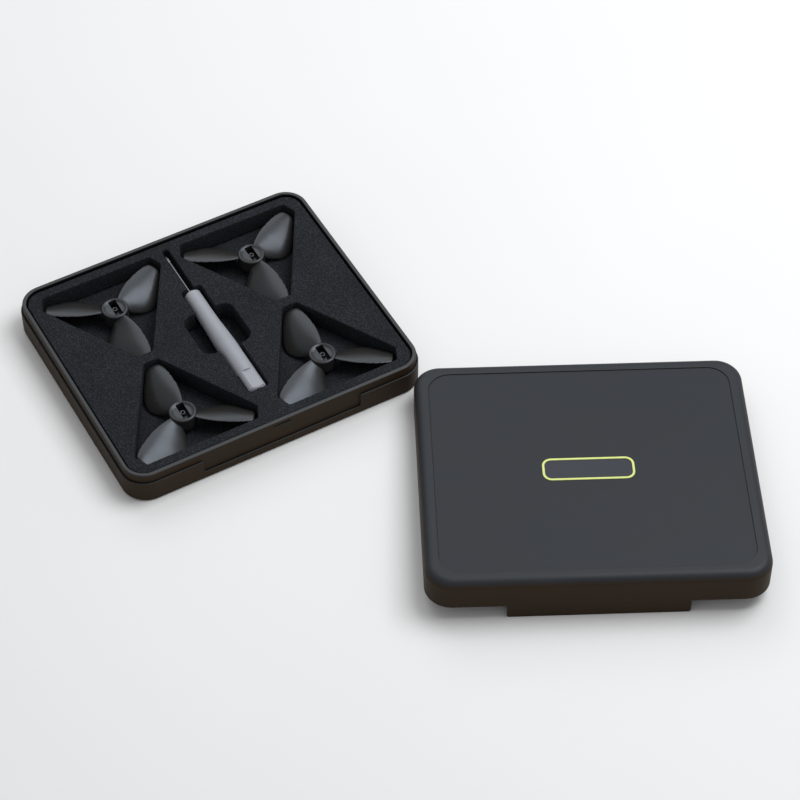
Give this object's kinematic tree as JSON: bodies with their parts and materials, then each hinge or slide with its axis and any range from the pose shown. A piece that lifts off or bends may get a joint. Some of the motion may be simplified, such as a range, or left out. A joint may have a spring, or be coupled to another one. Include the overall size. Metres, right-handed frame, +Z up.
{
  "type": "propeller storage case",
  "caption": "Hard two-part carrying case with die-cut foam that holds four three-blade propellers and a hex driver, shown open with its lid beside it.",
  "frame": {"origin": "centre of the tray's underside", "axes": "+X along the tray's long side, -Y towards the tray's front with the snap slot, +Z up"},
  "size_m": [0.3178, 0.3608, 0.0264],
  "materials": {
    "case_plastic": "soft-touch matte",
    "lid_panel_plastic": "soft-touch matte",
    "foam": "open-cell foam",
    "prop_plastic": "satin",
    "driver_grip": "matte grey",
    "driver_steel": "ground",
    "badge_accent": "chartreuse",
    "badge_field": "satin"
  },
  "bodies": {
    "tray": {"base_tray": "case_plastic", "foam_base_sheet": "foam", "foam_insert": "foam"},
    "lid": {"lid_shell": "case_plastic", "lid_top_panel": "lid_panel_plastic", "badge_ring": "badge_accent", "badge_plate": "badge_field", "lid_liner_foam": "foam"},
    "driver": {"driver_handle": "driver_grip", "driver_shank": "driver_steel"},
    "prop_rear_left": {"propeller_rear_left": "prop_plastic"},
    "prop_rear_right": {"propeller_rear_right": "prop_plastic"},
    "prop_front_left": {"propeller_front_left": "prop_plastic"},
    "prop_front_right": {"propeller_front_right": "prop_plastic"}
  },
  "joints": [
    {"name": "lid_lift", "type": "slide", "parent": "tray", "child": "lid", "axis": [0, 0, 1], "range_m": [0, 0.06]},
    {"name": "driver_lift", "type": "slide", "parent": "tray", "child": "driver", "axis": [0, 0, 1], "range_m": [0, 0.04]},
    {"name": "prop_rear_left_lift", "type": "slide", "parent": "tray", "child": "prop_rear_left", "axis": [0, 0, 1], "range_m": [0, 0.04]},
    {"name": "prop_rear_right_lift", "type": "slide", "parent": "tray", "child": "prop_rear_right", "axis": [0, 0, 1], "range_m": [0, 0.04]},
    {"name": "prop_front_left_lift", "type": "slide", "parent": "tray", "child": "prop_front_left", "axis": [0, 0, 1], "range_m": [0, 0.04]},
    {"name": "prop_front_right_lift", "type": "slide", "parent": "tray", "child": "prop_front_right", "axis": [0, 0, 1], "range_m": [0, 0.04]}
  ]
}
